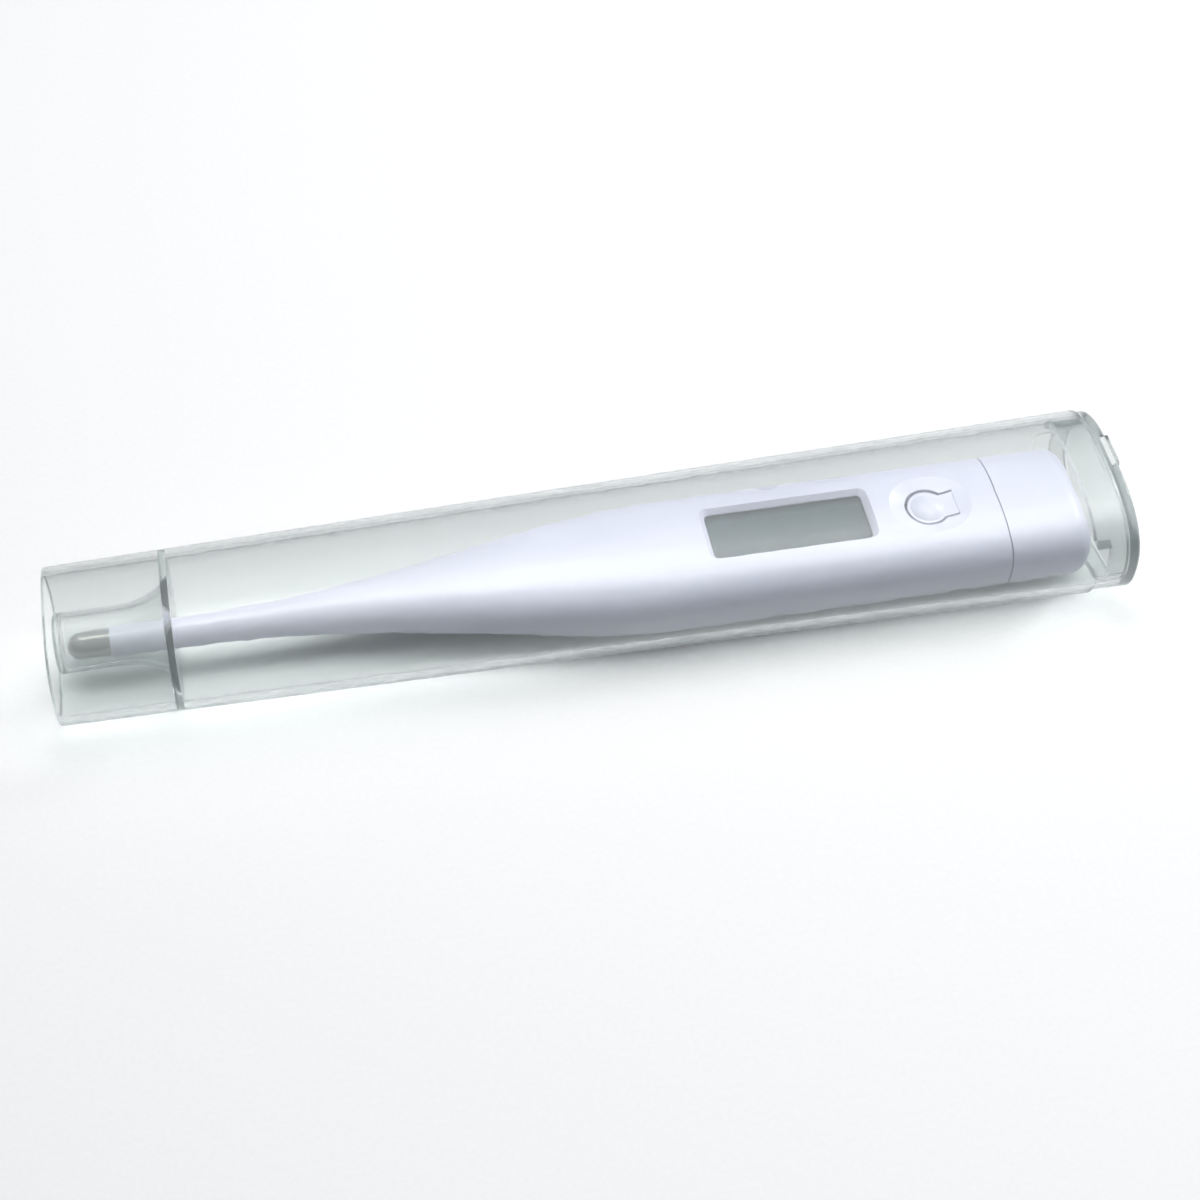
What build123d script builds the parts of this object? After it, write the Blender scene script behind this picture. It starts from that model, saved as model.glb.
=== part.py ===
"""Digital clinical thermometer lying in its translucent storage case.

Millimetres, +Z up. The case lies on the plane Z = 0 with its long axis on X, the probe tip toward -X
and the end cap toward +X. The origin is under the middle of the whole object.
"""

import os
from math import cos, pi, sin

from build123d import *

# Stations, named _x, are measured along X from the rim of the case's tip end.

# --- Thermometer body ---------------------------------------------------------------------------
body_width = 17.6
body_height = 9.7
body_squareness = 2.87
body_wall = 1.2
shaft_start_x = 7.1
shaft_diameter = 3.7
taper_start_x = 14.0
taper_length = 62.0
taper_lean = 1.25  # above 1 the taper swells late
height_lead = 0.75  # below 1 the height swells ahead of the width
taper_spans = 12
straight_length = 42.2
hollow_start_x = 42.0  # where the wire bore opens into the hollow body
hollow_spans = 7
cover_room = 0.65  # between the battery holder and the inside of the cover's end
cover_wall = 0.9
groove_width = 0.2  # the shadow line around the seam
groove_depth = 0.4
cover_fit = 0.1
cover_end_radius = 2.4
fillet_tolerance = 0.05  # how closely the largest rounding that the end takes is found
fillet_tries = 20
spigot_wall = 0.7
spigot_length = 3.0
spigot_overlap = 2.4  # how far the spigot's bore starts inside the housing

# --- Metal probe tip and sensor -----------------------------------------------------------------
tip_length = 5.2
tip_diameter = 3.3
tip_wall = 0.2
neck_length = 1.8
bead_diameter = 1.5
bead_gap = 0.9  # between the inside of the tip's nose and the bead
wire_diameter = 0.4
wire_spacing = 0.7
wire_pad_spacing = 4.0
wire_bore = 1.8
wire_bend_radius = 30.0
wire_straight = 4.0  # before the wires spread apart, and again before the board
wire_pad_reach = 3.0  # how far the wires run on over the board

# --- Storage case -------------------------------------------------------------------------------
case_wall = 1.1
rest_gap = 0.15  # between the thermometer and the case floor
end_room = 2.8  # from the thermometer's end to the mouth of the case
side_room = 2.95  # on each side of the thermometer at the mouth
head_room = 3.55  # above the thermometer at the mouth
case_tip_width = 20.4
case_tip_height = 14.1
case_squareness = 2.55
foot_depth = 0.15  # how deep the flat resting strip is cut into the rounded underside
rim_radius = 0.4
web_x = 14.0  # the web that carries the tip pocket
web_thickness = 0.9
pocket_end_x = 0.6
pocket_mouth_x = 8.4
pocket_diameter = 7.3
pocket_wall = 0.65
pocket_rise = 0.9  # the pocket's axis stands this far above the thermometer's
flare_gap = 0.25
relief_length = 4.0
relief_depth = 0.3

# --- End cap ------------------------------------------------------------------------------------
flange_thickness = 1.4
flange_inset = 0.3
tongue_length = 4.0
plug_length = 2.1
plug_wall = 1.0
plug_clearance = 0.08
tongue_drop = 4.6  # the plug is a long tongue above this depth below the top, a short ring below it
tab_width = 5.2
tab_height = 2.6
tab_thickness = 0.7
tab_offset_y = 2.4
tab_drop = 1.0  # from the top of the flange down to the tab

# --- Window and display -------------------------------------------------------------------------
window_setback = 26.8  # from the seam back to the window's centre
window_length = 20.3
window_width = 7.0
window_corner = 0.7
bezel_slope = 0.7  # how far the bevelled frame spreads on each side
bezel_depth = 0.9
lens_thickness = 0.7
display_overlap = 1.55  # how far the display reaches past the window at each end
display_width = 9.2
display_gap = 0.1
film_border = 0.5
polariser_thickness = 0.2
glass_thickness = 0.55
contact_ledge = 1.4
zebra_width = 1.0
frame_wall = 0.6
frame_gap = 0.1
frame_shelf = 1.2
frame_corner = 0.5

# --- Power button -------------------------------------------------------------------------------
dish_setback = 8.5  # from the seam back to the dish's centre
dish_diameter = 10.4
dish_depth = 1.1
dish_floor = 0.9
dish_rim = 0.8
button_shift = -0.3
button_diameter = 5.0
button_gap = 0.4
button_rise = 1.0
dome_inset = 0.1
tongue_width = 3.5
slit_width = 0.3
hinge_reach = 3.7  # from the button's centre to the root of its strip
hinge_gap = 0.05
hinge_thickness = 0.7
plunger_diameter = 2.2

# --- Circuit board ------------------------------------------------------------------------------
board_length = 40.5
board_setback = 1.7  # from the seam back to the board's end
board_width = 13.2
board_thickness = 0.8
board_drop = 0.2  # the board's top below the thermometer's axis
board_corner = 0.6
ledge_height = 0.8
ledge_overlap = 0.4
ledge_end_room = 1.0
glob_setback = 6.1  # from the dish's centre back to the blob's
glob_diameter = 6.0
glob_height = 1.0
switch_diameter = 4.6
switch_height = 0.35
resistor_size = (1.6, 0.8, 0.5)
resistor_count = 3
resistor_start = 6.0  # from the board's end to the first resistor
resistor_pitch = 3.0
capacitor_size = (2.0, 1.25, 0.8)
chip_edge_room = 2.4  # from the board's long edge to the chips' centres

# --- Sounder ------------------------------------------------------------------------------------
sounder_diameter = 9.0
sounder_plate = 0.2
sounder_ceramic_diameter = 6.5
sounder_ceramic = 0.15
seat_width = 0.7
seat_top = 0.5  # above the lowest point of the inner floor

# --- Battery ------------------------------------------------------------------------------------
cell_diameter = 7.9
cell_height = 3.6
cell_advance = 4.7  # from the seam to the cell's centre
cell_drop = 1.9  # the cell's underside below the thermometer's axis
cell_fit = 0.1
cell_cap_diameter = 6.2
cell_cap_height = 0.6
gasket_width = 0.25
holder_setback = 3.7  # from the seam back to the holder's start
holder_side_wall = 1.35
holder_base = 0.4
holder_end_wall = 0.7
holder_corner = 0.8
holder_fit = 0.02  # least room between the holder and the spigot's mouth
strip_thickness = 0.2
strip_width = 2.6
strip_foot = 1.6
strip_reach = 1.0  # how far each contact runs past the cell's centre
bend_room = 1.2  # from the holder to the contacts' bends

# --- Places worked out from the sizes above -----------------------------------------------------
outline_points = 24
cut_over = 1.0  # how far a cut runs past the piece that it cuts
taper_end_x = taper_start_x + taper_length
seam_x = taper_end_x + straight_length
cover_length = cell_advance + cell_diameter / 2 + cell_fit + holder_end_wall + cover_room + cover_wall
case_length = seam_x + cover_length + end_room
case_mouth_width = body_width + 2 * (side_room + case_wall)
case_mouth_height = body_height + rest_gap + head_room + 2 * case_wall
overall_length = case_length + flange_thickness + tab_thickness
thermometer_z = case_wall + rest_gap + body_height / 2
body_top_z = thermometer_z + body_height / 2
inner_floor_z = thermometer_z - body_height / 2 + body_wall
pocket_axis_z = thermometer_z + pocket_rise
tip_start_x = shaft_start_x - tip_length
window_x = seam_x - window_setback
dish_x = seam_x - dish_setback
button_x = dish_x + button_shift
hinge_x = button_x + hinge_reach
board_end_x = seam_x - board_setback
board_start_x = board_end_x - board_length
board_top_z = thermometer_z - board_drop
board_bottom_z = board_top_z - board_thickness
cell_x = seam_x + cell_advance
cell_z = thermometer_z - cell_drop
holder_start_x = seam_x - holder_setback


def across(x, z):
    """A plane across the case, x from the rim of the tip end and z its centre height."""
    return Plane(origin=(x - overall_length / 2, 0, z), x_dir=(0, 1, 0), z_dir=(1, 0, 0))


def level(x, z, y=0):
    """A horizontal plane, x from the rim of the tip end."""
    return Plane.XY.move(Location((x - overall_length / 2, y, z)))


def oval(plane, width, height, squareness):
    """A smooth closed outline: an ellipse at squareness 2, a rounded rectangle above it."""

    def swell(value):
        return abs(value) ** (2 / squareness) * (1 if value > 0 else -1)

    turns = [2 * pi * step / outline_points for step in range(outline_points)]
    with BuildSketch(plane) as outline:
        with BuildLine():
            Spline([(width / 2 * swell(cos(t)), height / 2 * swell(sin(t))) for t in turns], periodic=True)
        make_face()
    return outline.sketch.face()


def case_section(x, inset):
    """The case's outline at a station, drawn in from its outer surface by inset."""
    share = x / case_length
    width = case_tip_width + (case_mouth_width - case_tip_width) * share
    height = case_tip_height + (case_mouth_height - case_tip_height) * share + foot_depth
    centre = height / 2 - foot_depth
    return oval(across(x, centre), width - 2 * inset, height - 2 * inset, case_squareness)


def body_section(x, inset):
    """The thermometer's outline at a station, drawn in by inset: round shaft to flat body."""
    along = min(max((x - taper_start_x) / (taper_end_x - taper_start_x), 0), 1) ** taper_lean
    share = 3 * along**2 - 2 * along**3
    width = shaft_diameter + (body_width - shaft_diameter) * share
    height = shaft_diameter + (body_height - shaft_diameter) * share**height_lead
    squareness = 2 + (body_squareness - 2) * share
    return oval(across(x, thermometer_z), width - 2 * inset, height - 2 * inset, squareness)


def slab(x, length, width, bottom, thickness, corner=0.0, y=0.0):
    """A flat plate centred on a station, with rounded corners when corner is given."""
    with BuildPart() as plate:
        with BuildSketch(level(x, bottom, y)):
            if corner:
                RectangleRounded(length, width, corner)
            else:
                Rectangle(length, width)
        extrude(amount=thickness)
    return plate.part


def disc(x, diameter, bottom, thickness):
    """An upright cylinder standing on a level."""
    with BuildPart() as round_plate:
        with BuildSketch(level(x, bottom)):
            Circle(diameter / 2)
        extrude(amount=thickness)
    return round_plate.part


def rod(start_x, end_x, diameter, z, y=0.0):
    """A cylinder along the case."""
    with BuildPart() as bar:
        with BuildSketch(across(start_x, z)):
            with Locations((y, 0)):
                Circle(diameter / 2)
        extrude(amount=end_x - start_x)
    return bar.part


def ball(x, z, diameter):
    """A ball on the middle plane."""
    with BuildPart(level(x, z)) as whole:
        Sphere(diameter / 2)
    return whole.part


def keep(piece, name):
    """Labels a finished piece and writes it to its own file."""
    piece.part.label = name
    export_step(piece.part, f"parts/{name}.step")


os.makedirs("parts", exist_ok=True)

# === Storage case ===============================================================================

# The tip pocket is a closed round tube that flares out, trumpet-like, to the flat web.
web_inner_x = web_x + web_thickness
web_bite = web_thickness / 3  # how far the flare runs into the web, so that the two are one piece


def trumpet(end_x, mouth_x, root_x, tube_radius, root_radius, end_round):
    """A revolved solid: a closed tube and the curve that opens it out."""
    shift = overall_length / 2
    with BuildPart() as horn:
        with BuildSketch(Plane.XZ):
            with BuildLine():
                Polyline(
                    (root_x - shift, pocket_axis_z + root_radius),
                    (root_x - shift, pocket_axis_z),
                    (end_x - shift, pocket_axis_z),
                    (end_x - shift, pocket_axis_z + tube_radius - end_round),
                )
                RadiusArc(
                    (end_x - shift, pocket_axis_z + tube_radius - end_round),
                    (end_x - shift + end_round, pocket_axis_z + tube_radius),
                    end_round,
                )
                Line(
                    (end_x - shift + end_round, pocket_axis_z + tube_radius),
                    (mouth_x - shift, pocket_axis_z + tube_radius),
                )
                TangentArc(
                    (mouth_x - shift, pocket_axis_z + tube_radius),
                    (root_x - shift, pocket_axis_z + root_radius),
                    tangent=(1, 0),
                )
            make_face()
        revolve(axis=Axis((0, 0, pocket_axis_z), (1, 0, 0)))
    return horn.part


pocket_radius = pocket_diameter / 2
bore_radius = pocket_radius - pocket_wall
flare_radius = case_tip_height / 2 - case_wall - flare_gap
relief_span = relief_length + cut_over
relief_x = case_length - relief_length
core_start = case_section(relief_x - cut_over, relief_depth)
core_end = case_section(case_length + 2 * cut_over, relief_depth)
with BuildPart() as relief:
    relief_width = case_mouth_width + 2 * cut_over
    relief_height = case_mouth_height / 2 + cut_over
    add(slab(relief_x + relief_span / 2, relief_span, relief_width, -cut_over, relief_height))
    loft([core_start, core_end], mode=Mode.SUBTRACT)

with BuildPart() as case_body:
    loft([case_section(0, 0), case_section(case_length, 0)])
    fillet(case_body.faces().filter_by(GeomType.PLANE).edges(), radius=rim_radius)
    below = slab(case_length / 2, case_length + 2 * cut_over, case_mouth_width, -cut_over, cut_over)
    add(below, mode=Mode.SUBTRACT)
    skirt_ends = [case_section(x, case_wall) for x in (-cut_over, web_x)]
    loft(skirt_ends, mode=Mode.SUBTRACT)
    cavity_ends = [case_section(x, case_wall) for x in (web_inner_x, case_length + cut_over)]
    loft(cavity_ends, mode=Mode.SUBTRACT)
    add(trumpet(pocket_end_x, pocket_mouth_x, web_x + web_bite, pocket_radius, flare_radius, pocket_wall))
    add(
        trumpet(
            pocket_end_x + pocket_wall,
            pocket_mouth_x + web_thickness / 2,
            web_inner_x + web_bite,
            bore_radius,
            flare_radius,
            pocket_wall,
        ),
        mode=Mode.SUBTRACT,
    )
    add(relief.part, mode=Mode.SUBTRACT)
keep(case_body, "case_body")

# === End cap ====================================================================================

flange_end_x = case_length + flange_thickness
plug_inset = case_wall + plug_clearance
with BuildPart() as case_cap:
    flange = case_section(case_length, flange_inset)
    extrude(flange, amount=flange_thickness)
    fillet(case_cap.faces().sort_by(Axis.X)[-1].edges(), radius=rim_radius)
    extrude(case_section(case_length, plug_inset), amount=-tongue_length)
    short_x = case_length - plug_length
    tongue_z = case_mouth_height - tongue_drop
    room = slab(short_x - tongue_length / 2, tongue_length, case_mouth_width, 0, tongue_z)
    add(room, mode=Mode.SUBTRACT)
    hollow = case_section(case_length, plug_inset + plug_wall)
    extrude(hollow, amount=-tongue_length - cut_over, mode=Mode.SUBTRACT)
    tab_bottom = case_mouth_height - flange_inset - tab_drop - tab_height
    with BuildSketch(across(flange_end_x - rim_radius, tab_bottom + tab_height / 2)):
        with Locations((tab_offset_y, 0)):
            RectangleRounded(tab_width, tab_height, tab_thickness)
    extrude(amount=tab_thickness + rim_radius)
keep(case_cap, "case_cap")

# === Thermometer housing ========================================================================

spigot_inset = cover_wall + cover_fit
mouth_inset = spigot_inset + spigot_wall
tip_bore = tip_diameter - 2 * tip_wall
dish_radius = (dish_diameter**2 / 4 + dish_depth**2) / (2 * dish_depth)
dish_bottom_z = body_top_z - dish_depth
under_dish_z = dish_bottom_z - dish_floor
button_hole = button_diameter + 2 * button_gap
tongue_slot = tongue_width + 2 * slit_width
window_z = body_top_z - bezel_depth
ledge_inner = board_width / 2 - ledge_overlap
sounder_x = window_x


def even_stations(start_x, end_x, spans):
    """Evenly spaced stations, both ends among them."""
    return [start_x + (end_x - start_x) * step / spans for step in range(spans + 1)]


dish_ball = ball(dish_x, dish_bottom_z + dish_radius, 2 * dish_radius)  # its lowest cap is the thumb dish


def button_outline(diameter, width, reach_x):
    """The button's disc and the strip that joins it to the hinge, seen from above."""
    with BuildSketch(level(button_x, under_dish_z)) as outline:
        Circle(diameter / 2)
        with Locations(((reach_x - button_x) / 2, 0)):
            Rectangle(reach_x - button_x, width)
    return outline.sketch


with BuildPart() as housing:
    extrude(body_section(taper_end_x, 0), amount=straight_length)
    loft([body_section(x, 0) for x in even_stations(taper_start_x, taper_end_x, taper_spans)])
    loft([body_section(shaft_start_x, 0), body_section(taper_start_x, 0)])
    extrude(body_section(seam_x, spigot_inset), amount=spigot_length)
    add(rod(shaft_start_x - neck_length, shaft_start_x + cut_over, tip_bore, thermometer_z))
    # The hollow for the works, the narrower mouth inside the spigot, and the bore for the wires.
    hollow_length = straight_length - body_wall
    extrude(body_section(taper_end_x, body_wall), amount=hollow_length, mode=Mode.SUBTRACT)
    hollow_stations = even_stations(hollow_start_x, taper_end_x, hollow_spans)
    loft([body_section(x, body_wall) for x in hollow_stations], mode=Mode.SUBTRACT)
    mouth = body_section(seam_x - spigot_overlap, mouth_inset)
    extrude(mouth, amount=spigot_overlap + spigot_length + cut_over, mode=Mode.SUBTRACT)
    add(rod(0, hollow_start_x + cut_over, wire_bore, thermometer_z), mode=Mode.SUBTRACT)
    # The floor under the thumb dish, the dish itself, and the slot around the button and its strip.
    boss_height = body_top_z - body_wall / 2 - under_dish_z
    add(disc(dish_x, dish_diameter + 2 * dish_rim, under_dish_z, boss_height))
    add(dish_ball, mode=Mode.SUBTRACT)
    slot = button_outline(button_hole, tongue_slot, hinge_x)
    extrude(slot, amount=dish_floor + dish_depth + cut_over, mode=Mode.SUBTRACT)
    # The window: a bevelled frame that narrows down to the opening that holds the lens.
    cut_z = body_top_z - body_wall - cut_over
    cut_height = body_wall + 2 * cut_over
    opening = slab(window_x, window_length, window_width, cut_z, cut_height, window_corner)
    add(opening, mode=Mode.SUBTRACT)
    with BuildSketch(level(window_x, window_z)) as bezel_low:
        RectangleRounded(window_length, window_width, window_corner)
    with BuildSketch(level(window_x, body_top_z + bezel_depth)) as bezel_high:
        spread = 4 * bezel_slope
        bezel_corner = window_corner + bezel_slope
        RectangleRounded(window_length + spread, window_width + spread, bezel_corner)
    loft([bezel_low.sketch.face(), bezel_high.sketch.face()], mode=Mode.SUBTRACT)
    # Two ledges that carry the board, and the ring that the sounder sits on.
    ledge_length = holder_start_x - board_start_x - 2 * ledge_end_room
    ledge_x = board_start_x + ledge_end_room + ledge_length / 2
    ledge_width = body_width / 2 - body_wall / 2 - ledge_inner
    ledge_z = board_bottom_z - ledge_height
    for side in (-1, 1):
        ledge_y = side * (ledge_inner + ledge_width / 2)
        add(slab(ledge_x, ledge_length, ledge_width, ledge_z, ledge_height, y=ledge_y))
    seat_bottom = inner_floor_z - body_wall / 2
    add(disc(sounder_x, sounder_diameter, seat_bottom, body_wall / 2 + seat_top))
    seat_bore = sounder_diameter - 2 * seat_width
    add(disc(sounder_x, seat_bore, inner_floor_z, seat_top + cut_over), mode=Mode.SUBTRACT)
keep(housing, "housing")

# === Battery cover ==============================================================================

with BuildPart() as battery_cover:
    extrude(body_section(seam_x, groove_depth), amount=groove_width)
    extrude(body_section(seam_x + groove_width, 0), amount=cover_length - groove_width)
    end_edges = battery_cover.faces().sort_by(Axis.X)[-1].edges()
    most = battery_cover.part.max_fillet(end_edges, fillet_tolerance, fillet_tries)
    fillet(end_edges, radius=min(cover_end_radius, most))
    cover_depth = cover_length - cover_wall
    extrude(body_section(seam_x, cover_wall), amount=cover_depth, mode=Mode.SUBTRACT)
keep(battery_cover, "battery_cover")

# === Power button ===============================================================================

button_top_z = dish_bottom_z + button_rise
dome_span = button_diameter / 2 - dome_inset
dome_radius = (dome_span**2 + button_rise**2) / (2 * button_rise)
switch_top_z = board_top_z + switch_height
with BuildPart() as dome:
    add(ball(button_x, button_top_z - dome_radius, 2 * dome_radius))
    dome_block = 4 * dome_radius
    below_dome = slab(button_x, dome_block, dome_block, dish_bottom_z - dome_block, dome_block)
    add(below_dome, mode=Mode.SUBTRACT)

with BuildPart() as power_button:
    disc_and_strip = button_outline(button_diameter, tongue_width, hinge_x - hinge_gap)
    extrude(disc_and_strip, amount=dish_floor + dish_depth)
    add(dish_ball, mode=Mode.SUBTRACT)
    # The strip is thin enough to flex between the disc and its root.
    thin_start_x = button_x + button_diameter / 2
    thin_span = hinge_x + cut_over - thin_start_x
    thin_width = tongue_width + 2 * cut_over
    thin_height = dish_floor - hinge_thickness
    under_strip = slab(thin_start_x + thin_span / 2, thin_span, thin_width, under_dish_z, thin_height)
    add(under_strip, mode=Mode.SUBTRACT)
    add(dome.part)
    plunger_height = under_dish_z + dish_floor / 2 - switch_top_z
    add(disc(button_x, plunger_diameter, switch_top_z, plunger_height))
keep(power_button, "power_button")

# === Metal probe tip and sensor =================================================================

tip_radius = tip_diameter / 2
bore_depth_x = tip_start_x + tip_wall
bead_x = bore_depth_x + bead_gap + bead_diameter / 2


def bullet(start_x, end_x, radius):
    """A rod with a round nose at its start."""
    with BuildPart() as nose:
        add(ball(start_x + radius, thermometer_z, 2 * radius))
        add(rod(start_x + radius, end_x, 2 * radius, thermometer_z))
        add(rod(end_x, end_x + 4 * radius, 4 * radius, thermometer_z), mode=Mode.SUBTRACT)
    return nose.part


with BuildPart() as probe_tip:
    add(bullet(tip_start_x, shaft_start_x, tip_radius))
    add(bullet(bore_depth_x, shaft_start_x + cut_over, tip_bore / 2), mode=Mode.SUBTRACT)
keep(probe_tip, "probe_tip")

with BuildPart() as thermistor:
    add(ball(bead_x, thermometer_z, bead_diameter))
keep(thermistor, "thermistor")

wire_z = board_top_z + wire_diameter / 2
spread_x = hollow_start_x + wire_straight - overall_length / 2
pad_x = board_start_x - wire_straight - overall_length / 2
wire_end_x = board_start_x + wire_pad_reach - overall_length / 2
wires = {}
for side, name in ((-1, "sensor_wire_left"), (1, "sensor_wire_right")):
    near_y = side * wire_spacing / 2
    pad_y = side * wire_pad_spacing / 2
    start = (bead_x - overall_length / 2, near_y, wire_z)
    with BuildPart() as wire:
        with BuildLine() as route:
            FilletPolyline(
                start,
                (spread_x, near_y, wire_z),
                (pad_x, pad_y, wire_z),
                (wire_end_x, pad_y, wire_z),
                radius=wire_bend_radius,
            )
        with BuildSketch(Plane(origin=start, x_dir=(0, 1, 0), z_dir=(1, 0, 0))):
            Circle(wire_diameter / 2)
        sweep()
        add(thermistor.part, mode=Mode.SUBTRACT)
    wires[name] = wire
    keep(wire, name)

neck_end_x = shaft_start_x - neck_length
with BuildPart() as thermal_epoxy:
    add(bullet(bore_depth_x, neck_end_x, tip_bore / 2))
    add(thermistor.part, mode=Mode.SUBTRACT)
    for wire in wires.values():
        add(wire.part, mode=Mode.SUBTRACT)
keep(thermal_epoxy, "thermal_epoxy")

# === Window and display =========================================================================

lens_z = window_z - lens_thickness
with BuildPart() as window_lens:
    add(slab(window_x, window_length, window_width, lens_z, lens_thickness, window_corner))
keep(window_lens, "window_lens")

display_length = window_length + 2 * display_overlap
front_polariser_z = lens_z - display_gap - polariser_thickness
front_glass_z = front_polariser_z - glass_thickness
rear_glass_z = front_glass_z - glass_thickness
reflector_z = rear_glass_z - polariser_thickness
rear_width = display_width - contact_ledge
rear_y = -contact_ledge / 2
film_length = display_length - 2 * film_border
film_width = display_width - 2 * film_border
with BuildPart() as front_polariser:
    add(slab(window_x, film_length, film_width, front_polariser_z, polariser_thickness))
keep(front_polariser, "front_polariser")
with BuildPart() as lcd_front_glass:
    add(slab(window_x, display_length, display_width, front_glass_z, glass_thickness))
keep(lcd_front_glass, "lcd_front_glass")
with BuildPart() as lcd_rear_glass:
    add(slab(window_x, display_length, rear_width, rear_glass_z, glass_thickness, y=rear_y))
keep(lcd_rear_glass, "lcd_rear_glass")
with BuildPart() as rear_reflector:
    add(slab(window_x, display_length, rear_width, reflector_z, polariser_thickness, y=rear_y))
keep(rear_reflector, "rear_reflector")

zebra_y = display_width / 2 - contact_ledge / 2
frame_height = front_glass_z - board_top_z
with BuildPart() as zebra_strip:
    add(slab(window_x, film_length, zebra_width, board_top_z, frame_height, y=zebra_y))
keep(zebra_strip, "zebra_strip")

frame_length = display_length + 2 * (frame_gap + frame_wall)
frame_width = display_width + 2 * (frame_gap + frame_wall)
with BuildPart() as lcd_frame:
    add(slab(window_x, frame_length, frame_width, board_top_z, frame_height, frame_corner))
    rest_length = frame_length - 2 * frame_wall
    rest_width = frame_width - 2 * frame_wall
    add(slab(window_x, rest_length, rest_width, reflector_z, frame_height), mode=Mode.SUBTRACT)
    open_length = rest_length - 2 * frame_shelf
    open_width = rest_width - 2 * frame_shelf
    through = frame_height + cut_over
    add(slab(window_x, open_length, open_width, board_top_z, through), mode=Mode.SUBTRACT)
    slot_length = film_length + 2 * frame_gap
    slot_width = zebra_width + 2 * frame_gap
    add(slab(window_x, slot_length, slot_width, board_top_z, through, y=zebra_y), mode=Mode.SUBTRACT)
keep(lcd_frame, "lcd_frame")

# === Circuit board and what is soldered to it ===================================================

board_x = (board_start_x + board_end_x) / 2
with BuildPart() as circuit_board:
    add(slab(board_x, board_length, board_width, board_bottom_z, board_thickness, board_corner))
keep(circuit_board, "circuit_board")

chip_y = board_width / 2 - chip_edge_room
glob_x = dish_x - glob_setback
glob_radius = (glob_diameter**2 / 4 + glob_height**2) / (2 * glob_height)
with BuildPart() as chip_glob:
    add(ball(glob_x, board_bottom_z - glob_height + glob_radius, 2 * glob_radius))
    glob_block = 4 * glob_radius
    add(slab(glob_x, glob_block, glob_block, board_bottom_z, glob_block), mode=Mode.SUBTRACT)
keep(chip_glob, "chip_glob")

with BuildPart() as chip_resistors:
    length, width, height = resistor_size
    for step in range(resistor_count):
        resistor_x = board_start_x + resistor_start + resistor_pitch * step
        resistor_y = chip_y * (-1) ** step
        add(slab(resistor_x, length, width, board_bottom_z - height, height, y=resistor_y))
keep(chip_resistors, "chip_resistors")

with BuildPart() as chip_capacitors:
    length, width, height = capacitor_size
    for side in (-1, 1):
        add(slab(button_x, length, width, board_bottom_z - height, height, y=side * chip_y))
keep(chip_capacitors, "chip_capacitors")

switch_radius = (switch_diameter**2 / 4 + switch_height**2) / (2 * switch_height)
with BuildPart() as switch_dome:
    add(ball(button_x, switch_top_z - switch_radius, 2 * switch_radius))
    switch_block = 4 * switch_radius
    below_switch = slab(button_x, switch_block, switch_block, board_top_z - switch_block, switch_block)
    add(below_switch, mode=Mode.SUBTRACT)
keep(switch_dome, "switch_dome")

# === Sounder ====================================================================================

plate_z = inner_floor_z + seat_top
ceramic_z = plate_z + sounder_plate
with BuildPart() as sounder_disc:
    add(disc(sounder_x, sounder_diameter, plate_z, sounder_plate))
keep(sounder_disc, "sounder_disc")
with BuildPart() as sounder_ceramic_disc:
    add(disc(sounder_x, sounder_ceramic_diameter, ceramic_z, sounder_ceramic))
keep(sounder_ceramic_disc, "sounder_ceramic")
with BuildPart() as sounder_leads:
    inner_z = ceramic_z + sounder_ceramic
    add(disc(sounder_x, wire_diameter, inner_z, board_bottom_z - inner_z))
    outer_x = sounder_x + (sounder_diameter + sounder_ceramic_diameter) / 4
    add(disc(outer_x, wire_diameter, ceramic_z, board_bottom_z - ceramic_z))
keep(sounder_leads, "sounder_leads")

# === Battery and its contacts ===================================================================

holder_end_x = cell_x + cell_diameter / 2 + cell_fit + holder_end_wall
holder_width = cell_diameter + 2 * (cell_fit + holder_side_wall)
holder_length = holder_end_x - holder_start_x
holder_x = (holder_start_x + holder_end_x) / 2
holder_floor_z = cell_z - strip_thickness
cell_top_z = cell_z + cell_height
strip_end_x = cell_x + strip_reach


def strip(points, width):
    """A bent sheet-metal strip: a polyline in the XZ plane with rounded bends."""
    with BuildPart() as band:
        with BuildSketch(Plane.XZ):
            with BuildLine() as path:
                FilletPolyline(*[(x - overall_length / 2, z) for x, z in points], radius=strip_thickness)
            trace(path.line, line_width=strip_thickness)
        extrude(amount=width / 2, both=True)
    return band.part


half_strip = strip_thickness / 2
foot_end_x = holder_start_x - bend_room
with BuildPart() as positive_contact:
    over_z = cell_top_z + half_strip
    foot_z = board_top_z + half_strip
    over_cell = [(strip_end_x, over_z), (foot_end_x, over_z)]
    onto_board = [(foot_end_x, foot_z), (foot_end_x - strip_foot, foot_z)]
    add(strip(over_cell + onto_board, strip_width))
keep(positive_contact, "positive_contact")
with BuildPart() as negative_contact:
    under_z = cell_z - half_strip
    foot_z = board_bottom_z - half_strip
    under_cell = [(strip_end_x, under_z), (foot_end_x, under_z)]
    under_board = [(foot_end_x, foot_z), (foot_end_x - strip_foot, foot_z)]
    add(strip(under_cell + under_board, strip_width))
keep(negative_contact, "negative_contact")

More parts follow.
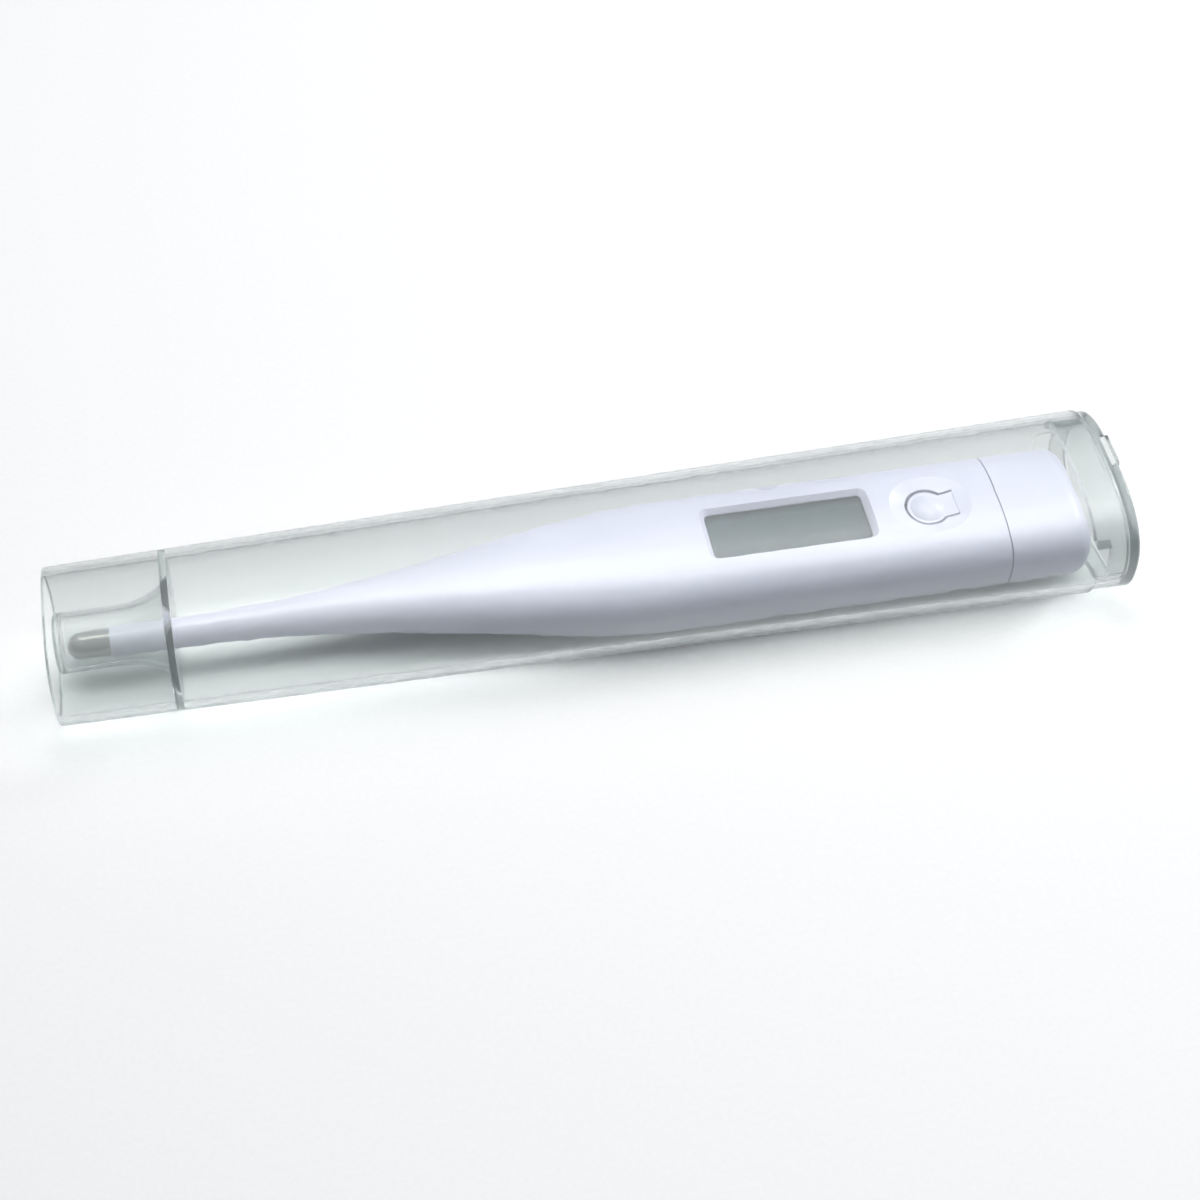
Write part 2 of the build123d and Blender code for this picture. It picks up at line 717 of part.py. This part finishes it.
with BuildPart() as battery_holder:
    holder_height = cell_top_z - holder_floor_z + holder_base
    holder_z = holder_floor_z - holder_base
    add(slab(holder_x, holder_length, holder_width, holder_z, holder_height, holder_corner))
    room_inside = body_section(holder_start_x, mouth_inset + holder_fit)
    extrude(room_inside, amount=holder_length, mode=Mode.INTERSECT)
    cell_hole = disc(cell_x, cell_diameter + 2 * cell_fit, holder_floor_z, holder_height)
    add(cell_hole, mode=Mode.SUBTRACT)
    socket_length = board_end_x - holder_start_x
    socket_x = holder_start_x + socket_length / 2
    socket = slab(socket_x, socket_length, board_width, board_bottom_z, board_thickness)
    add(socket, mode=Mode.SUBTRACT)
    channel_length = cell_x - holder_start_x
    channel_x = holder_start_x + channel_length / 2
    channel = slab(channel_x, channel_length, strip_width, holder_floor_z, strip_thickness)
    add(channel, mode=Mode.SUBTRACT)
keep(battery_holder, "battery_holder")

can_z = cell_z + cell_cap_height
with BuildPart() as cell_can:
    add(disc(cell_x, cell_diameter, can_z, cell_height - cell_cap_height))
keep(cell_can, "cell_can")
with BuildPart() as cell_cap:
    add(disc(cell_x, cell_cap_diameter, cell_z, cell_cap_height))
keep(cell_cap, "cell_cap")
with BuildPart() as cell_gasket:
    add(disc(cell_x, cell_cap_diameter + 2 * gasket_width, can_z - gasket_width, gasket_width))
    add(cell_cap.part, mode=Mode.SUBTRACT)
keep(cell_gasket, "cell_gasket")
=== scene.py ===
# %% [markdown]
# # A clinical thermometer in its storage case
#
# The object is a white digital thermometer lying in a long see-through case with an end cap. The
# sizes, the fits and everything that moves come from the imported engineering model, which is loaded
# first as a fixed frame. This lesson adds the camera, the light and the finishes: frosted
# polypropylene, glossy white ABS, nickel-plated metal, clear acrylic and a small grey-green display.

# %% Load the frame
import math

import bpy
from mathutils import Matrix, Vector

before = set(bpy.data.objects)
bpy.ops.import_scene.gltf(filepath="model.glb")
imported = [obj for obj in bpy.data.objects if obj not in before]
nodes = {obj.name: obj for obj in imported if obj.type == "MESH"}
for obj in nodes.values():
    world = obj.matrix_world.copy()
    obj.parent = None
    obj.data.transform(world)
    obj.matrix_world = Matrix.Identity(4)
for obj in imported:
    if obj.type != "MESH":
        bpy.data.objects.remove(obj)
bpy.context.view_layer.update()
MM = 0.001
print("pieces in the frame:", len(nodes))

# %% [markdown]
# ## The camera
#
# The object is seen from above and a little from its left end, as something lying on a table in
# front of a seated person. A camera can be placed by guesswork and tracking, but naming its turn,
# tilt, roll and distance keeps every number readable, so the place is worked out from those. The
# long lens keeps the case's edges nearly parallel.

# %% Camera
CAMERA_TURN = math.radians(-12.02)
CAMERA_TILT = math.radians(50.53)
CAMERA_ROLL = math.radians(1.36)
CAMERA_DISTANCE = 284.3 * MM
CAMERA_AIM = Vector((-0.11, -3.11, 5.0)) * MM
LENS_MM = 68.54

back = Vector((
    math.sin(CAMERA_TURN) * math.cos(CAMERA_TILT),
    -math.cos(CAMERA_TURN) * math.cos(CAMERA_TILT),
    math.sin(CAMERA_TILT),
))
right = Vector((math.cos(CAMERA_TURN), math.sin(CAMERA_TURN), 0))
up = back.cross(right)
turned_right = right * math.cos(CAMERA_ROLL) + up * math.sin(CAMERA_ROLL)
turned_up = back.cross(turned_right)
camera_data = bpy.data.cameras.new("table_camera")
camera_data.lens = LENS_MM
camera_data.clip_start = 0.01
camera = bpy.data.objects.new("table_camera", camera_data)
camera.matrix_world = Matrix.Translation(CAMERA_AIM + back * CAMERA_DISTANCE) @ Matrix(
    (turned_right, turned_up, back)
).transposed().to_4x4()
bpy.context.scene.collection.objects.link(camera)
bpy.context.scene.camera = camera
print("camera stands at", [round(v / MM, 1) for v in camera.location], "mm")

# %% [markdown]
# ## Colours and nodes
#
# Colours are written as the sRGB hex values that a paint chart or a screen would give. Shaders work
# on linear light, so one function turns each hex value to linear. Another small function adds a
# shader node, sets its inputs and links it, which keeps each material short enough to read.

# %% Colour and node helpers
GRAIN_DETAIL = 3.0
NOISE_LOW, NOISE_HIGH = 0.3, 0.7  # most of a noise's values lie between these
BUMP_STRENGTH = 0.3


def colour(hex_value):
    """An sRGB hex value as linear RGBA."""
    parts = [int(hex_value[i:i + 2], 16) / 255 for i in (1, 3, 5)]
    return (*(p / 12.92 if p <= 0.04045 else ((p + 0.055) / 1.055) ** 2.4 for p in parts), 1.0)


def add_node(tree, kind, settings=None, inputs=None):
    """Adds a node, sets its properties and inputs, and links the inputs given as sockets."""
    node = tree.nodes.new(kind)
    for name, value in (settings or {}).items():
        setattr(node, name, value)
    for name, value in (inputs or {}).items():
        if isinstance(value, bpy.types.NodeSocket):
            tree.links.new(value, node.inputs[name])
        else:
            node.inputs[name].default_value = value
    return node


def new_material(name):
    """An empty node material and its tree, with an output."""
    material = bpy.data.materials.new(name)
    material.use_nodes = True
    tree = material.node_tree
    tree.nodes.clear()
    return material, tree, tree.nodes.new("ShaderNodeOutputMaterial")


def grain(tree, size_mm, stretch=(1, 1, 1)):
    """Noise with features about size_mm across, in the piece's own coordinates."""
    where = add_node(tree, "ShaderNodeTexCoord").outputs["Object"]
    mapped = add_node(tree, "ShaderNodeMapping", inputs={"Vector": where, "Scale": stretch})
    noise = add_node(tree, "ShaderNodeTexNoise", inputs={
        "Vector": mapped.outputs["Vector"], "Scale": 1 / (size_mm * MM), "Detail": GRAIN_DETAIL})
    return noise.outputs["Fac"]


def spread(tree, source, low, high):
    """The middle of a noise's range spread between two values."""
    ranged = add_node(tree, "ShaderNodeMapRange", inputs={
        "Value": source, "From Min": NOISE_LOW, "From Max": NOISE_HIGH, "To Min": low, "To Max": high})
    return ranged.outputs["Result"]


def surface(name, shades, rough, grain_mm, depth_mm, stretch=(1, 1, 1), shader=None):
    """A finish: two close shades, a range of roughness and a low grain, at a size in mm."""
    material, tree, output = new_material(name)
    pattern = grain(tree, grain_mm, stretch=stretch)
    shade = add_node(tree, "ShaderNodeMix", {"data_type": "RGBA"}, {"Factor": spread(tree, pattern, 0, 1)})
    shade.inputs["A"].default_value, shade.inputs["B"].default_value = (colour(tone) for tone in shades)
    bump = add_node(tree, "ShaderNodeBump", inputs={
        "Height": pattern, "Strength": BUMP_STRENGTH, "Distance": depth_mm * MM})
    skin = add_node(tree, "ShaderNodeBsdfPrincipled", inputs={
        "Roughness": spread(tree, pattern, *rough), "Normal": bump.outputs["Normal"], **(shader or {})})
    tree.links.new(shade.outputs["Result"], skin.inputs["Base Color"])
    tree.links.new(skin.outputs["BSDF"], output.inputs["Surface"])
    return material


print("mid grey #808080 is", round(colour("#808080")[0], 3), "in linear light")

# %% [markdown]
# ## The table and the light
#
# A product like this is shown on a seamless pale sheet under large soft lamps. A white plane stands
# for the sheet. One wide lamp almost overhead gives the long highlights on the shaft and lets the
# near side fall to a cool grey. It stands clear of the place where flat faces would mirror it, so the
# display stays dark. A smaller lamp at the right shapes the thumb dish and the button. The room is bright
# overhead and dim near the horizon. That matters for clear plastic, which has no colour of its own:
# its rims bend the dim part of the room into view and so show as dark lines.

# %% Floor
HALF_FLOOR = 1.5
corners = [(x * HALF_FLOOR, y * HALF_FLOOR, 0) for x, y in ((-1, -1), (1, -1), (1, 1), (-1, 1))]
floor_data = bpy.data.meshes.new("table")
floor_data.from_pydata(corners, [], [(0, 1, 2, 3)])
floor = bpy.data.objects.new("table", floor_data)
bpy.context.scene.collection.objects.link(floor)
floor_data.materials.append(surface(
    "matt_white_paper", ("#F9F9F9", "#FCFCFC"), (0.85, 0.95), 0.6, 0.01, shader={"Specular IOR Level": 0.2}))
print("floor is", 2 * HALF_FLOOR, "m square")


# %% Lamps and room
def soft_lamp(name, place_mm, size_mm, watts):
    """A rectangular lamp that points at the object."""
    data = bpy.data.lights.new(name, "AREA")
    data.shape = "RECTANGLE"
    data.size, data.size_y = (side * MM for side in size_mm)
    data.energy = watts
    lamp = bpy.data.objects.new(name, data)
    lamp.location = Vector(place_mm) * MM
    lamp.rotation_euler = lamp.location.to_track_quat("Z", "Y").to_euler()
    bpy.context.scene.collection.objects.link(lamp)


soft_lamp("overhead_softbox", (60, 95, 530), (560, 200), 2.0)
soft_lamp("side_lamp", (460, 210, 300), (130, 130), 1.0)
DIM_BELOW, BRIGHT_ABOVE = 0.1, 0.95  # heights in the room, 0 at the horizon and 1 overhead
ROOM_STRENGTH = 0.46
room = bpy.data.worlds.new("pale_room")
bpy.context.scene.world = room
room.use_nodes = True
sky = room.node_tree
direction = add_node(sky, "ShaderNodeTexCoord").outputs["Generated"]
height = add_node(sky, "ShaderNodeSeparateXYZ", inputs={"Vector": direction}).outputs["Z"]
rise = add_node(sky, "ShaderNodeMapRange", {"interpolation_type": "SMOOTHSTEP"}, {
    "Value": height, "From Min": DIM_BELOW, "From Max": BRIGHT_ABOVE})
glow = add_node(sky, "ShaderNodeMix", {"data_type": "RGBA"}, {
    "Factor": rise.outputs["Result"], "A": colour("#46525A"), "B": colour("#F7F9FC")})
sky.nodes["Background"].inputs["Strength"].default_value = ROOM_STRENGTH
sky.links.new(glow.outputs["Result"], sky.nodes["Background"].inputs["Color"])
bpy.context.scene.view_settings.view_transform = "Standard"

# %% [markdown]
# ## Frosted polypropylene
#
# The case is moulded from unfilled polypropylene. It isn't clear like glass: tiny crystals scatter a
# little light, so the wall looks milky, and it absorbs a little more red than green or blue, so it is
# nearly clear where it is seen square-on and grey-green where it is seen edge-on. It could be pure
# glass, but that would lose the haze, or a plain see-through paint, but that would lose the bent
# light at the rims. So a clear refracting shader is mixed with a little milky scattering, the
# volume inside the wall absorbs, and lamps are let through so that what lies inside is lit.

# %% Clear plastics
PLASTIC_IOR = 1.49
HAZE_MM = 9.0
RIPPLE_MM = 6.0
EDGE_BLEND = 0.25
EDGE_START = 0.55  # how edge-on the wall is seen where the milk begins to grow


def clear_plastic(name, tint, rough, sheen, milk_share, edge_milk, skin_mm, edge_tint=None, per_metre=0.0):
    """A moulded see-through plastic with a range of haze, and an absorbing inside."""
    material, tree, output = new_material(name)
    haze = grain(tree, HAZE_MM, stretch=(0.25, 1, 1))
    bump = add_node(tree, "ShaderNodeBump", inputs={
        "Height": grain(tree, RIPPLE_MM), "Strength": BUMP_STRENGTH, "Distance": skin_mm * MM})
    clear = add_node(tree, "ShaderNodeBsdfPrincipled", inputs={
        "Base Color": colour(tint), "Transmission Weight": 1.0, "IOR": PLASTIC_IOR,
        "Specular Tint": colour("#3C3C3C"),
        "Coat Weight": 1.0, "Coat Roughness": sheen, "Coat IOR": PLASTIC_IOR,
        "Roughness": spread(tree, haze, *rough), "Normal": bump.outputs["Normal"]})
    front = add_node(tree, "ShaderNodeBsdfDiffuse", inputs={"Color": colour("#C3CDCF")})
    behind = add_node(tree, "ShaderNodeBsdfTranslucent", inputs={"Color": colour("#D3DBDC")})
    milk = add_node(tree, "ShaderNodeMixShader", inputs={0: 0.5, 1: front.outputs[0], 2: behind.outputs[0]})
    edge_on = add_node(tree, "ShaderNodeLayerWeight", inputs={"Blend": EDGE_BLEND}).outputs["Facing"]
    share = add_node(tree, "ShaderNodeMapRange", inputs={
        "Value": edge_on, "From Min": EDGE_START, "From Max": 1.0,
        "To Min": spread(tree, haze, *milk_share), "To Max": edge_milk}).outputs["Result"]
    wall = add_node(tree, "ShaderNodeMixShader", inputs={0: share, 1: clear.outputs[0], 2: milk.outputs[0]})
    lit_through = add_node(tree, "ShaderNodeBsdfTransparent", inputs={"Color": colour("#F2F3F3")})
    ray = add_node(tree, "ShaderNodeLightPath")
    seen = add_node(tree, "ShaderNodeMixShader", inputs={
        0: ray.outputs["Is Shadow Ray"], 1: wall.outputs[0], 2: lit_through.outputs[0]})
    tree.links.new(seen.outputs[0], output.inputs["Surface"])
    if edge_tint:
        inside = add_node(tree, "ShaderNodeVolumeAbsorption", inputs={
            "Color": colour(edge_tint), "Density": per_metre})
        tree.links.new(inside.outputs[0], output.inputs["Volume"])
    return material


finishes = {"frosted_polypropylene": clear_plastic(
    "frosted_polypropylene_wall", "#FAFBFA", (0.04, 0.08), 0.42, (0.08, 0.12), 0.75, 0.004, "#A9B6B4", 50.0)}

# %% [markdown]
# ## Glossy white ABS
#
# The thermometer's shell is injection-moulded ABS from a polished mould, so it is a bright, slightly
# lavender white with a clear gloss. ABS lets a little light into its surface, which softens shadows,
# so a small subsurface share is used. The polished skin still has faint flow marks along the moulding
# direction, so the grain is drawn 5 mm wide, three times as long, and very low.

# %% White ABS
finishes["white_abs"] = surface(
    "polished_white_abs", ("#C6C6D7", "#CCCCDC"), (0.27, 0.35), 5.0, 0.01, (0.3, 1, 1),
    {"IOR": 1.54, "Subsurface Weight": 0.1, "Subsurface Radius": (1.0, 0.9, 0.8),
     "Subsurface Scale": 0.6 * MM})

# %% [markdown]
# ## The metal tip
#
# The tip is a deep-drawn cup, plated with nickel and polished. Polishing on a spinning mandrel leaves
# very fine rings around it, so the grain is stretched twenty times around the tip's axis. Real rings
# are a few hundredths of a millimetre apart, and 0.12 mm is the finest that shows. Nickel is a warm
# grey metal, so the base colour carries the warmth and the metallic value is full.

# %% Nickel-plated tip
finishes["nickel_plated_tip"] = surface(
    "polished_nickel_plate", ("#8F8C87", "#9C9994"), (0.10, 0.18), 0.12, 0.004, (1, 0.05, 0.05),
    {"Metallic": 1.0})

# %% [markdown]
# ## The display
#
# The window is a clear acrylic plate. Behind it lies a reflective liquid crystal display: a front
# polarising film, two plates of thin glass and a grey-green reflecting film. The light crosses the
# polariser twice, so the display looks much darker than its reflector. Painting the reflector dark
# would be quicker, but then the depth between the plates would be lost, so each layer gets what the
# real one has: the film lets a little under half the light through, the glass nearly all, and the
# reflector scatters it back from a fine grain.

# %% Window, films and glass
finishes["clear_acrylic"] = clear_plastic(
    "polished_clear_acrylic", "#FBFDFD", (0.01, 0.03), 0.1, (0.0, 0.01), 0.05, 0.002)
finishes["polariser_film"] = surface(
    "polarising_film", ("#30454B", "#394E54"), (0.18, 0.26), 1.0, 0.003, shader={"Alpha": 0.6, "IOR": 1.5})
finishes["display_glass"] = surface(
    "thin_float_glass", ("#DDE9E5", "#E3ECE9"), (0.02, 0.05), 3.0, 0.001, shader={"Alpha": 0.1, "IOR": 1.52})
finishes["grey_reflector"] = surface(
    "grey_green_reflecting_film", ("#71827F", "#7C8D89"), (0.4, 0.55), 0.15, 0.01, shader={"Metallic": 0.3})

# %% [markdown]
# ## The layered contact strip
#
# The display is joined to the board by a strip of silicone rubber in thin layers, one insulating and
# the next filled with carbon. The layers are about 0.05 mm thick on the real strip. They are drawn
# 0.25 mm thick, the finest that shows, as bands across its length.

# %% Layered silicone
silicone, tree, output = new_material("layered_silicone_rubber")
where = add_node(tree, "ShaderNodeTexCoord").outputs["Object"]
LAYER_MM = 0.25
WAVE_FACTOR = 20  # the wave texture multiplies a place by this before its sine
layers = add_node(tree, "ShaderNodeTexWave", {"wave_type": "BANDS", "bands_direction": "X"}, {
    "Vector": where, "Scale": math.pi / (WAVE_FACTOR * LAYER_MM * MM), "Distortion": 0.0})
carbon = add_node(tree, "ShaderNodeMix", {"data_type": "RGBA"}, {
    "Factor": layers.outputs["Fac"], "A": colour("#2B2828"), "B": colour("#CDBFB6")})
rubber = add_node(tree, "ShaderNodeBsdfPrincipled", inputs={
    "Base Color": carbon.outputs["Result"], "Roughness": spread(tree, grain(tree, 0.4), 0.55, 0.7)})
tree.links.new(rubber.outputs["BSDF"], output.inputs["Surface"])
finishes["silicone_rubber"] = silicone
print("layers are", LAYER_MM, "mm thick")

# %% [markdown]
# ## The works
#
# What lies inside is hidden by the shell until it is opened, but each piece still has the finish of
# the real one. The display's frame and the battery holder are black ABS from a spark-eroded mould,
# which gives a fine, even satin of about 0.2 mm. The board is woven glass and epoxy under a green
# mask: the weave shows as a faint unevenness about 0.5 mm wide and twice as long. The chip lies
# under a blob of black resin that shines, and the small chips are fired ceramic, which is dull.

# %% Plastics, board and ceramics
finishes["black_abs"] = surface("satin_black_abs", ("#151618", "#1D1E20"), (0.42, 0.55), 0.2, 0.02)
finishes["green_board"] = surface(
    "green_masked_glass_epoxy", ("#1B5E38", "#24704A"), (0.28, 0.4), 0.5, 0.015, (1, 0.5, 1),
    {"Coat Weight": 0.2, "Coat Roughness": 0.15})
finishes["black_glob_top"] = surface("black_potting_resin", ("#0B0B0D", "#141416"), (0.12, 0.22), 1.5, 0.02)
finishes["chip_ceramic"] = surface("fired_chip_ceramic", ("#7C674C", "#96805F"), (0.5, 0.65), 0.12, 0.01)
finishes["piezo_ceramic"] = surface(
    "silvered_piezo_ceramic", ("#CFCBBF", "#DBD7CC"), (0.38, 0.5), 0.15, 0.006)

# %% [markdown]
# ## The small metals
#
# Springs and contacts are tinned steel, sheared from strip, so fine lines run along them. The
# sounder's plate is rolled brass. The button cell's can and cap are nickel-plated steel, pressed and
# tumbled, with a brighter and more even skin. All are full metals, and they differ in colour, in
# roughness and in how far the grain is stretched.

# %% Small metals
finishes["spring_steel"] = surface(
    "tinned_spring_steel", ("#BDBDB8", "#CBCBC7"), (0.24, 0.38), 0.15, 0.005, (0.05, 1, 1), {"Metallic": 1.0})
finishes["brass_sheet"] = surface(
    "rolled_brass", ("#CBA65C", "#D8B66E"), (0.26, 0.38), 0.15, 0.005, (0.05, 1, 1), {"Metallic": 1.0})
finishes["cell_steel"] = surface(
    "nickel_plated_cell_steel", ("#C6C4BE", "#D0CEC9"), (0.18, 0.28), 0.3, 0.004, shader={"Metallic": 1.0})

# %% [markdown]
# ## The sensor and its wires
#
# A glass-sealed bead sits in grey-brown epoxy at the end of two thin copper wires. The wires are
# enamelled, which is copper under a clear amber varnish, so a metal with a glossy coat is used. The
# bead is dark amber glass, nearly opaque at this size.

# %% Sensor, epoxy and wire
finishes["enamelled_wire"] = surface(
    "enamelled_copper", ("#A65B30", "#B86B3C"), (0.2, 0.3), 0.2, 0.002, (0.05, 1, 1),
    {"Metallic": 1.0, "Coat Weight": 0.6, "Coat Roughness": 0.1})
finishes["potting_epoxy"] = surface("grey_brown_epoxy", ("#3A332B", "#484037"), (0.3, 0.45), 0.3, 0.01)
finishes["thermistor_glass"] = surface(
    "amber_bead_glass", ("#4A3320", "#5E4329"), (0.05, 0.12), 0.4, 0.003, shader={"IOR": 1.52})

# %% [markdown]
# ## Putting the finishes on
#
# Every piece of the frame keeps its shape and gets the finish that its material slot in the
# engineering record names. Doing it by slot, not by piece, keeps pieces of one material alike.

# %% Put the finishes on the pieces
finished = 0
for node in nodes.values():
    for slot in node.material_slots:
        slot.material = finishes[slot.material.name]
        finished += 1
print("surfaces finished:", finished, "with", len(finishes), "finishes")
